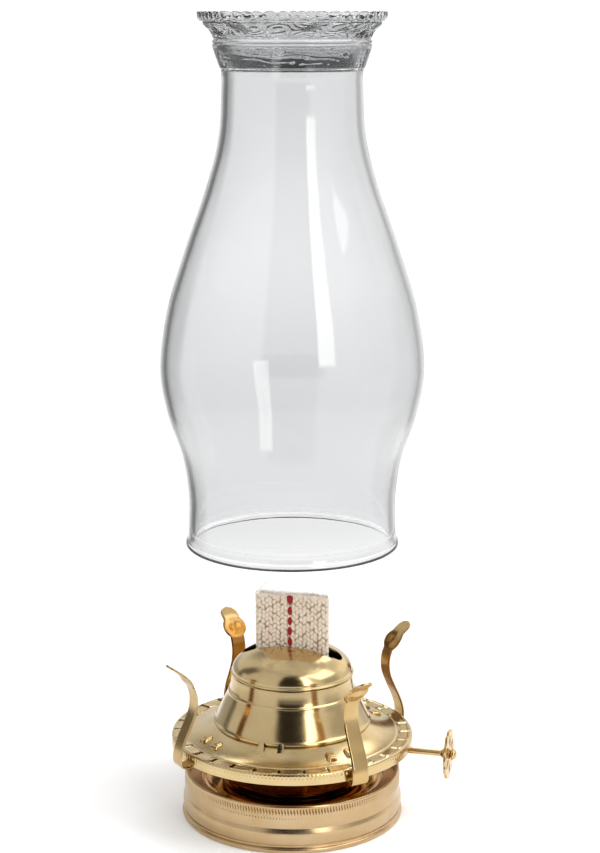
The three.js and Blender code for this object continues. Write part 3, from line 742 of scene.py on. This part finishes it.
def make_dome():
    """The dome: every line runs from the ridge to the edge of the flame slot, over it and back inside."""
    steps, samples, wall = 480, 46, 0.6
    # more lines round the slot's ends, where its outline turns
    even = round_turn(steps)
    turn = even - 0.42 * np.sin(2 * even)
    circle = np.stack([np.cos(turn), np.sin(turn)], axis=1)
    rolled = rounded([(19.45, RIDGE_Z), (20.05, RIDGE_Z, 0.15), (20.45, RIDGE_Z + 0.25, 0.25),
                      (20.45, RIDGE_Z + 0.65, 0.25), (20.05, RIDGE_Z + 0.9)], step=0.12, closed=False)
    columns = [np.column_stack([circle * r, np.full(steps, z)]) for r, z in rolled]
    share = (np.arange(samples + 1) / samples) ** 1.9
    for inset, grow, shares in ((0, 0.0, share), (wall, 0.02, share[::-2])):
        start = circle * (RIDGE_RADIUS - inset) * 0.9999
        for t in shares:
            flat = start + (slot_edge(turn, grow) - start) * t
            columns.append(np.column_stack([flat, dome_height(np.linalg.norm(flat, axis=1), inset)]))
    points = np.stack(columns, axis=1).reshape(-1, 3)
    faces = faces_out(points, grid_faces(steps, len(columns), True, True))
    piece = mesh_from("dome_cap_spun", points, faces)
    dress(piece, "burner", cone_brass, ["dome_cap"], angle=40)


# ---- wick raiser ----

def make_shaft():
    """The shaft with its shoulder and peened end, and a rolled grip line near the wheel."""
    low, high = node_low("wick_shaft")[0], node_high("wick_shaft")[0]
    wheel = node_low("thumbwheel")[0]
    _, y, z = node_middle("wick_shaft")
    r, x = rounded([
        (0.001, low), (1.0, low, 0.2), (1.0, wheel - 2.1, 0.3), (1.45, wheel - 1.7, 0.3),
        (1.75, wheel - 1.1, 0.3), (1.75, wheel - 0.3, 0.15), (1.0, wheel - 0.3, 0.1),
        (1.0, wheel + 1.3, 0.1), (1.6, wheel + 1.3, 0.2), (1.85, wheel + 2.0, 0.5),
        (1.3, wheel + 2.9, 0.6), (0.001, high),
    ], step=0.4, closed=False).T
    sides = 40
    turn = round_turn(sides)[:, None]
    points = np.stack([x + 0 * turn, y + r * np.cos(turn), z + r * np.sin(turn)], axis=2).reshape(-1, 3)
    faces = faces_out(points, grid_faces(sides, len(r), True, False))
    piece = mesh_from("wick_shaft_turned", points, faces)
    dress(piece, "wick_raiser", raiser_brass, ["wick_shaft"])


def pierced_plate(name, loops, thick, bevel):
    """A flat plate with holes: closed 2D loops filled, given a thickness and a soft edge."""
    curve = bpy.data.curves.new(name, "CURVE")
    curve.dimensions = "2D"
    curve.fill_mode = "BOTH"
    curve.extrude = (thick / 2 - bevel) * MM
    curve.bevel_depth = bevel * MM
    curve.bevel_resolution = 2
    for loop in loops:
        spline = curve.splines.new("POLY")
        spline.points.add(len(loop) - 1)
        for point, (x, y) in zip(spline.points, loop):
            point.co = (x * MM, y * MM, 0, 1)
        spline.use_cyclic_u = True
    holder = placed(name, curve)
    mesh = evaluated_mesh(holder)
    bpy.data.objects.remove(holder)
    return placed(name, mesh)


def petal(turn):
    """A teardrop hole that points away from the centre."""
    middle, length, width = 4.35, 4.3, 2.7
    c, s = math.cos(turn), math.sin(turn)
    loop = []
    for t in round_turn(28):
        along = middle + length / 2 * math.cos(t)
        across = width / 2 * math.sin(t) * (1 + 0.35 * math.cos(t))
        loop.append((along * c - across * s, along * s + across * c))
    return loop


def ring(radius, points, x=0.0, y=0.0):
    """A round hole."""
    return [(x + radius * math.cos(t), y + radius * math.sin(t)) for t in round_turn(points)]


def make_thumbwheel():
    """The pressed openwork wheel: lobed edge, six petals, six small holes, and a raised hub."""
    x, y, z = node_middle("thumbwheel")
    lobes = 6
    turn = round_turn(48 * lobes)
    radius = 8.0 - 0.75 * (1 - np.abs(np.cos(lobes * turn)) ** 0.8)
    loops = [list(zip(radius * np.cos(turn), radius * np.sin(turn)))]
    sixths = [k * math.pi / 3 for k in range(lobes)]
    loops += [petal(a + math.pi / 6) for a in sixths]
    loops += [ring(0.5, 16, 6.15 * math.cos(a), 6.15 * math.sin(a)) for a in sixths]
    loops.append(ring(1.15, 24))
    piece = pierced_plate("thumbwheel_pierced", loops, 0.9, 0.22)
    # the flat plate stands up, facing along the shaft, with its hub pressed outwards
    across, up, out = vertices_of(piece).T
    dish = 0.45 * np.exp(-(np.hypot(across, up) / 2.4) ** 2) - 0.15
    standing = np.stack([x + out + dish, y + across, z + up], axis=1) * MM
    piece.data.vertices.foreach_set("co", standing.ravel())
    piece.data.update()
    dress(piece, "wick_raiser", raiser_brass, ["thumbwheel"], angle=40)


# ---- wick ----

WALE = 1.28  # across one column of the knit
COURSE = 1.62  # up one loop
STITCH_PITCH = 3.55
STITCH_X = -0.5


def knit_height(across, up):
    """Height of the knitted surface, 0 in the gaps and 1 on the loops: round loops packed like bricks."""
    shift = np.random.default_rng(3).uniform(-0.2, 0.2, (64, 64, 2))
    nearest = np.full(np.broadcast(across, up).shape, 9.0)
    for side in (-1, 0, 1):
        column = np.floor(across / WALE) + side
        odd = np.mod(column, 2)
        lean = 0.5 * odd - 0.25
        for over in (-1, 0, 1):
            row = np.floor(up / COURSE - 0.5 * odd) + over
            luck = shift[column.astype(int) % 64, row.astype(int) % 64]
            rise = up - (row + 0.5 + 0.5 * odd + luck[..., 1]) * COURSE
            aside = across - (column + 0.5 + luck[..., 0]) * WALE - lean * rise
            nearest = np.minimum(nearest, (aside / (0.60 * WALE)) ** 2 + (rise / (0.62 * COURSE)) ** 2)
    return np.clip(1 - nearest, 0, 1) ** 0.6


def wick_section(half_x, half_y):
    """Points round the wick's section, about 0.1 mm apart, and the way out at each: x, y, out_x, out_y."""
    corner = 0.75
    loop = []
    for cx, cy, start in ((1, 1, 0), (-1, 1, 90), (-1, -1, 180), (1, -1, 270)):
        for a in np.radians(np.linspace(start, start + 90, 9)):
            c, s = math.cos(a), math.sin(a)
            loop.append((cx * (half_x - corner) + corner * c, cy * (half_y - corner) + corner * s, c, s))
    loop = np.array(loop)
    dense = []
    for here, after in zip(loop, np.roll(loop, -1, axis=0)):
        pieces = max(int(np.linalg.norm((after - here)[:2]) / 0.1), 1)
        dense.extend(here + (after - here) * k / pieces for k in range(pieces))
    return np.array(dense).T


def wick_wave(x, up):
    """How far the tape's upper part waves to and fro."""
    return 0.22 * np.sin(x * 0.33 + 0.8) * rise(up, 60, 16)


def make_wick():
    """The knitted tape, with a frayed top, marker stitches and stray threads."""
    low, high = node_low("wick")[2], node_high("wick")
    half_x, half_y, top = high[0] - 0.05, high[1] - 0.22, high[2]
    rng = np.random.default_rng(7)
    x, y, out_x, out_y = wick_section(half_x, half_y)
    columns = len(x)
    knit_from = 50.0  # the tape is plain below this height, inside its tube
    up = np.concatenate([np.arange(low, knit_from, 0.8), np.arange(knit_from, top - 0.2, 0.1)])[:, None]
    height = knit_height(x + 0.6 * (y > 0), up + 0.15 * np.sin(x * 0.9))
    near_top = rise(up, top - 2.4, 2.0)
    knitted = rise(up, knit_from, 1.0)
    relief = (0.50 * height - 0.18) * knitted * (1 - 0.75 * near_top)
    wave = wick_wave(x, up)
    nibble = np.convolve(rng.normal(0, 1, columns + 8), np.ones(9) / 9, "valid")
    sag = 0.25 * np.sin(x * 0.28 - 0.5) + 0.55 * nibble
    points = np.stack([x + out_x * relief, y + out_y * relief + wave, up + near_top * sag], axis=2)
    # the top closes over in a row of short rings towards the middle line
    rings = []
    for k, inset in enumerate((0.45, 0.8, 1.0), 1):
        last = points[-1].copy()
        last[:, 1] = last[:, 1] * (1 - inset) + wave[-1] * inset
        last[:, 2] += 0.15 * k * (1 - inset) + rng.normal(0, 0.09, columns)
        rings.append(last)
    points = np.concatenate([points, rings])
    flat = points.reshape(-1, 3)
    faces = faces_out(flat, grid_faces(len(points), columns, False, True))
    piece = mesh_from("wick_knitted", flat, [*faces, range(columns)])
    shown = (height * knitted + (1 - knitted) * 0.6) * (1 - 0.8 * near_top) + 0.72 * near_top
    store(piece, "loop_height", np.vstack([shown, np.full((len(rings), columns), 0.75)]))
    dress(piece, "wick", wick_cotton, ["wick"], angle=180)
    make_stitches(top, half_y)
    make_fray(top, half_x, half_y)


def tube_about(path, radii, sides):
    """Points and faces of a thin tube along a path."""
    path = np.asarray(path, float)
    along = tangents(path)
    side = np.cross(along, [0.31, 0.93, 0.2])
    side /= np.linalg.norm(side, axis=1)[:, None]
    other = np.cross(along, side)
    turn = round_turn(sides)[None, :, None]
    radii = np.asarray(radii, float)[:, None, None]
    rings = path[:, None] + radii * (np.cos(turn) * side[:, None] + np.sin(turn) * other[:, None])
    return rings.reshape(-1, 3), grid_faces(len(path), sides, False, True)[:, ::-1]


def make_threads(name, tubes, material):
    """One piece of many tubes on the wick, with a mesh of its own."""
    piece = mesh_from(name, *joined(tubes))
    dress(piece, "wick", material, angle=180)
    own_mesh(piece)


def make_stitches(top, half_y):
    """The red marker thread: a line of lens-shaped stitches down both faces."""
    t = np.linspace(-1, 1, 25)
    whole = np.clip(1 - np.abs(t) ** 2.2, 0.04, 1)
    cut_off = np.clip(np.minimum(1.3, 1.5 * (t + 1)) * rise(-t, -1, 0.12), 0.04, 1.3)
    tubes = []
    for face in (-1, 1):
        for number in range(8):
            up = top - 2.1 - STITCH_PITCH * (number - t * 0.475)
            line = np.column_stack([0 * t + STITCH_X, 0 * t + face * half_y, up])
            tube, faces = tube_about(line, 0.80 * (whole if number else cut_off), 18)
            flattened = (tube[:, 1] - face * half_y) * 0.45
            tube[:, 1] = face * (half_y + 0.22) + flattened + wick_wave(STITCH_X, tube[:, 2])
            tubes.append((tube, faces))
    make_threads("wick_marker_thread", tubes, red_thread)


def make_fray(top, half_x, half_y):
    """Short cut ends along the top edge, loose fibres at the sides, and two stray threads."""
    rng = random.Random(11)
    ends, sides = [], []

    def hair(tubes, start, heading, length, radius, curl):
        heading = np.array(heading) / np.linalg.norm(heading)
        bend = np.array([rng.uniform(-1, 1) for _ in range(3)]) * curl
        t = np.linspace(0, 1, 5)[:, None]
        path = start + length * (heading * t + bend * t * t)
        tubes.append(tube_about(path, [radius * share for share in (1, 1, 0.9, 0.7, 0.3)], 5))

    for _ in range(700):
        x = rng.uniform(0.7 - half_x, half_x - 0.7)
        y = rng.choice((-1, 1)) * half_y * rng.uniform(0.2, 1.0)
        start = (x, y, top - rng.uniform(0.3, 1.0))
        heading = (rng.uniform(-0.6, 0.6), rng.uniform(-0.5, 0.5), 1)
        hair(ends, start, heading, rng.uniform(0.5, 1.7), 0.06, 0.35)
    for _ in range(420):
        side = rng.choice((-1, 1))
        start = (side * (half_x - 0.1), rng.uniform(-half_y, half_y), rng.uniform(60, top - 0.3))
        heading = (side, rng.uniform(-0.8, 0.8), rng.uniform(-0.6, 0.8))
        hair(sides, start, heading, rng.uniform(0.3, 0.9), 0.045, 0.4)
    long_stray = [(-11.4, -0.9, top - 0.8), (-11.2, -1.1, top + 0.9), (-10.2, -1.2, top + 2.0),
                  (-9.6, -1.2, top + 2.9), (-8.2, -1.2, top + 3.8)]
    short_stray = [(-11.0, -0.9, top - 0.7), (-12.6, -1.0, top - 0.2), (-14.0, -1.0, top - 0.5)]
    for controls, samples, thick, thin in ((long_stray, 20, 0.27, 0.12), (short_stray, 10, 0.24, 0.10)):
        sides.append(tube_about(smooth_curve(controls, samples), np.linspace(thick, thin, samples), 7))
    make_threads("wick_fray_top", ends, stray_cotton)
    make_threads("wick_fray_sides", sides, stray_cotton)


# ---- chimney ----

SIDE_CONTROLS = [
    (33.8, 5), (33.7, 17), (35.6, 30.4), (40.4, 45), (42.45, 59.5), (39.8, 78.5), (33.7, 98.2), (27, 117.3),
    (23.1, 133), (22.1, 150),
]
RIM_BEADS = 52
GLASS_WALL = 1.9


def pressed_collar(r, z, angle):
    """The collar as the mould pressed it: beaded rim, wavy lines on the flare, mottling on the band."""
    bead = np.abs(np.cos(RIM_BEADS / 2 * angle + 0.9 * np.sin(5 * angle) + 0.6 * np.sin(11 * angle + 1)))
    outside = r > 22.3 + (z - 161) * 0.62
    r = r + rise(z, 169.0, 0.8) * (0.5 * bead ** 0.7 - 0.35)
    crest = 0.5 + 0.2 * np.sin(7 * angle)
    z = z + rise(z, 169.4, 1.0) * crest * (bead ** 0.8 - 1)
    # wavy contour lines pressed into the flare, and a ragged edge above them
    up = z - 163
    wander = np.sin(8 * angle + 0.9 * up + 1.3 * np.sin(3 * angle)) + 0.8 * np.sin(13 * angle - 1.1 * up + 2)
    r = r + between(z, 162.8, 167.4, 0.4) * outside * 0.16 * np.sin(5.4 * wander + 3.0 * up)
    ragged = np.exp(-((z - 167.7 - 0.2 * np.sin(31 * angle + wander)) / 0.3) ** 2)
    r = r - 0.3 * ragged * outside
    mottled = between(z, 154.2, 160.2, 0.8) * (r > 22.2)
    r = r + mottled * 0.035 * np.sin(23 * angle + 1.9 * z + wander) * np.sin(17 * angle - 2.3 * z)
    return r, z


def make_chimney():
    """Blown glass with a beaded foot and a pressed collar; heights are above the glass's own foot."""
    foot = node_low("chimney")[2]
    side = smooth_curve(SIDE_CONTROLS, 120)
    along_r, along_z = tangents(side).T
    inner_side = side + np.stack([-along_z, along_r], axis=1) * GLASS_WALL
    outer_collar = rounded([
        (22.15, 151.2), (22.3, 153.4, 0.8), (22.7, 153.7, 0.3), (23.7, 156.4, 1.5), (24.7, 159.4, 0.8),
        (24.95, 160.3, 0.3), (24.95, 160.9, 0.3), (24.6, 161.2, 0.15), (24.95, 161.5, 0.3),
        (24.95, 162.1, 0.3), (24.45, 162.5, 0.15), (24.7, 163.2, 0.5), (25.3, 164.6, 1), (27.0, 166.4, 1),
        (28.1, 167.4, 0.4), (28.0, 167.9, 0.2), (28.7, 168.0, 0.3), (29.5, 168.8, 0.8), (29.6, 169.8, 0.8),
        (29.5, 170.9, 0.5),
    ], step=0.18, closed=False)
    inner_collar = rounded([
        (28.3, 170.8, 0.5), (27.6, 169.6, 1), (25.0, 167.0, 1.4), (22.8, 164.6, 1), (21.7, 162.4, 1),
        (21.2, 160.4, 1.5), (20.45, 155.0, 1), (20.3, 151.2),
    ], step=0.3, closed=False)
    outer_foot = rounded([(33.0, 0.6, 0.4), (33.9, 0, 0.8), (34.8, 0.5, 0.6), (34.75, 1.6, 0.6),
                          (34.0, 2.6, 0.8), (33.82, 4.7)], step=0.25, closed=False)
    inner_foot = rounded([(31.9, 4.7), (32.1, 2.6, 0.8), (32.7, 1.2, 0.5)], step=0.25, closed=False)
    outline = np.vstack([outer_foot, side, outer_collar, inner_collar, inner_side[::-1], inner_foot])

    def lifted_collar(r, z, angle):
        r, z = pressed_collar(r, z, angle)
        return r, z + foot

    piece = turned("chimney_blown", outline, steps=RIM_BEADS * 16, shape=lifted_collar)
    # painted dark reflection: the collar's band is painted grey, and the flare above it less
    up = vertices_of(piece)[:, 2] - foot
    store(piece, "painted_grey", between(up, 153.8, 160.6, 0.8) + 0.35 * rise(up, 162.4, 0.8))
    dress(piece, "chimney", blown_glass, ["chimney"], angle=60)


# ---- carried-over CAD nodes ----

def dress_cad(name):
    """Keeps a CAD node, with softened edges and a brass finish."""
    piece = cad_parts[name]
    piece.data.materials.clear()
    piece.data.materials.append(inner_brass)
    modifier = piece.modifiers.new("soft_edges", "BEVEL")
    modifier.width = 0.12 * MM
    modifier.segments = 2
    modifier.limit_method = "ANGLE"
    modifier.angle_limit = math.radians(35)
    shade(piece, 35)


# ---- build ----

make_jar_band()
make_adapter()
make_cup()
make_gallery()
make_lugs()
make_prongs()
make_skirt()
make_dome()
make_shaft()
make_thumbwheel()
make_wick()
make_chimney()
for name in ("tube_plate", "wick_tube", "ratchet_housing", "air_screen",
             "star_wheel_1", "star_wheel_2", "star_wheel_3", "star_wheel_4"):
    dress_cad(name)


# ---- floor, light and camera ----

FLOOR_RADIUS = 0.50


def make_floor():
    """A plain pale round table top, whose edge melts into the backdrop."""
    mesh = bpy.data.meshes.new("table_top")
    rim = [(x, y, 0) for x, y in ring(FLOOR_RADIUS, 96)]
    mesh.from_pydata(rim, [], [range(len(rim))])
    floor = placed("table_top", mesh)
    material, tree, shader = new_material("pale_table", Roughness=0.7, Specular_IOR_Level=0.1)
    place = place_of(tree)
    base = blended(noise(place, 400.0), (0.93, 0.93, 0.93, 1), (0.96, 0.96, 0.96, 1))
    away = add_node("VectorMath", {0: place}, operation="LENGTH").outputs["Value"]
    fill(shader, {"Base Color": base, "Alpha": ramp(away, 0.42, 0.15)})
    floor.data.materials.append(material)


def ramp(value, low, high):
    """0 where a value is at low, 1 where it is at high, soft between; low may be the greater."""
    ends = {1: low, 2: high, 3: 0.0, 4: 1.0} if low < high else {1: high, 2: low, 3: 1.0, 4: 0.0}
    return add_node("MapRange", {0: value, **ends}, interpolation_type="SMOOTHSTEP").outputs[0]


def make_world():
    """A white studio, but not one real room: glass and brass each have patches of their own."""
    world = bpy.data.worlds.new("studio")
    bpy.context.scene.world = world
    world.use_nodes = True
    tree = world.node_tree
    tree.nodes.clear()
    towards = tree.nodes.new("ShaderNodeTexCoord").outputs["Generated"]
    x, y, z = add_node("SeparateXYZ", {0: towards}).outputs
    c, s = direction(CAMERA_AZIMUTH)
    # 0 behind the camera, positive to its right
    bearing = calc("ARCTAN2", plus(times(x, c), times(y, s)), minus(times(x, s), times(y, c)))
    path = tree.nodes.new("ShaderNodeLightPath").outputs
    glass = path["Is Transmission Ray"]
    mirror = minus(1.0, glass)
    both = plus(0.5, times(glass, 0.5))  # in full through the glass, by half in the brass

    def band(value, low, high, soft, soft_end=None):
        """1 between low and high, with soft ends."""
        end = soft_end or soft
        return times(ramp(value, low - soft, low + soft), ramp(value, high + end, high - end))

    def behind(left, right, soft):
        """1 in the middle of the backdrop, beyond a bearing on each side."""
        return minus(1.0, band(bearing, left, right, soft))

    def beside(*ends):
        return band(bearing, *ends)

    black, dark, grey = (0.02, 0.018, 0.016, 1), (0.06, 0.06, 0.06, 1), (0.14, 0.14, 0.14, 1)
    white, warm, lit = (1.2, 1.2, 1.2, 1), (1.35, 1.30, 1.25, 1), (4.0, 3.95, 3.85, 1)
    flag_heights = (-0.36, 0.17, 0.08)
    sideways = plus(0.90, times(calc("SINE", bearing), 0.12))
    level = times(sideways, minus(1.0, times(z, z, 0.12)))
    base = add_node("CombineColor", {0: level, 1: level, 2: level}).outputs[0]
    # each patch: bearings, heights, strength, who sees it (1.0 for both), colour
    for bearings, heights, strength, seen_by, colour in (
        (beside(-0.46, 0.50, 0.06), (-0.03, 0.95, 0.04), 1.0, 1.0, black),  # the room behind the camera
        (behind(-3.03, 3.03, 0.09), (-0.16, -0.07, 0.05), 0.55, glass, white),  # the backdrop's middle
        (beside(-2.82, -1.98, 0.16, 0.1), flag_heights, 1.0, both, grey),  # left and right flags, which
        (beside(2.30, 2.76, 0.1, 0.12), flag_heights, 0.6, both, grey),  # draw the glass's contours
        (beside(2.00, 2.85, 0.12), (0.16, 0.55, 0.06), 1.0, mirror, warm),  # light at the back right
        (behind(-2.80, 2.80, 0.08), (0.07, 0.75, 0.02), 1.0, glass, dark),  # over it, for the collar
        (beside(-2.15, -1.72, 0.08), (0.34, 0.78, 0.10), 0.85, mirror, dark),  # dark corner, in the dome
        (behind(-2.68, 2.80, 0.22), (0.44, 0.92, 0.10), 0.72, mirror, dark),  # far ceiling, in the dish
        (beside(-2.13, -1.93, 0.05), (-0.05, 0.40, 0.08), 0.8, mirror, dark),  # left wall's edge
        (beside(1.05, 1.70, 0.12), (-0.10, 0.42, 0.08), 0.45, mirror, dark),  # right wall
        (beside(0.40, 0.66, 0.015), (0.05, 0.88, 0.02), 1.0, 1.0, lit),  # strip light
    ):
        base = blended(times(bearings, band(z, *heights), strength, seen_by), base, colour)
    studio = add_node("Background", {"Color": base}).outputs[0]
    # the camera itself sees plain white
    backdrop = tree.nodes.new("ShaderNodeBackground")
    fill(backdrop, {"Color": (1, 1, 1, 1), "Strength": 1.05})
    seen = add_node("MixShader", {0: path["Is Camera Ray"], 1: studio, 2: backdrop.outputs[0]}).outputs[0]
    add_node("OutputWorld", {"Surface": seen})


def add_light(name, size, power, bearing, height, distance, seen_in_brass=True):
    """A soft box that faces the object; its bearing is in degrees, from behind the camera to its right."""
    data = bpy.data.lights.new(name, "AREA")
    data.shape = "RECTANGLE"
    data.size, data.size_y = size
    data.energy = power
    light = placed(name, data)
    c, s = direction(CAMERA_AZIMUTH + bearing)
    centre = Vector((0, 0, 0.12))
    light.location = centre + Vector((s * distance, -c * distance, height))
    light.rotation_mode = "QUATERNION"
    light.rotation_quaternion = (light.location - centre).to_track_quat("Z", "Y")
    light.visible_glossy = seen_in_brass
    light.visible_transmission = seen_in_brass


def make_camera():
    """A camera whose distance, height and aim follow the picture's perspective."""
    data = bpy.data.cameras.new("camera")
    camera = placed("camera", data)
    bpy.context.scene.camera = camera
    data.sensor_width = 36
    data.lens = 81.0992
    data.shift_x = 0.009144
    data.clip_start = 0.01
    data.clip_end = 50
    away, height, tilt_down = 0.610, 0.2605, 11.88
    c, s = direction(CAMERA_AZIMUTH)
    camera.location = (s * away, -c * away, height)
    camera.rotation_euler = (math.radians(90 - tilt_down), 0, math.radians(CAMERA_AZIMUTH))


make_floor()
make_world()
add_light("key_soft_box", (0.8, 0.8), 3.6, 80, 0.85, 0.75)
add_light("back_soft_box", (0.7, 0.35), 2.3, 170, 0.72, 0.75)
add_light("side_fill", (0.6, 0.6), 3.8, 72, 0.85, 0.80, seen_in_brass=False)
add_light("front_fill", (0.5, 0.5), 5.5, -10, 0.32, 0.90, seen_in_brass=False)
make_camera()
bpy.context.scene.view_settings.view_transform = "Standard"
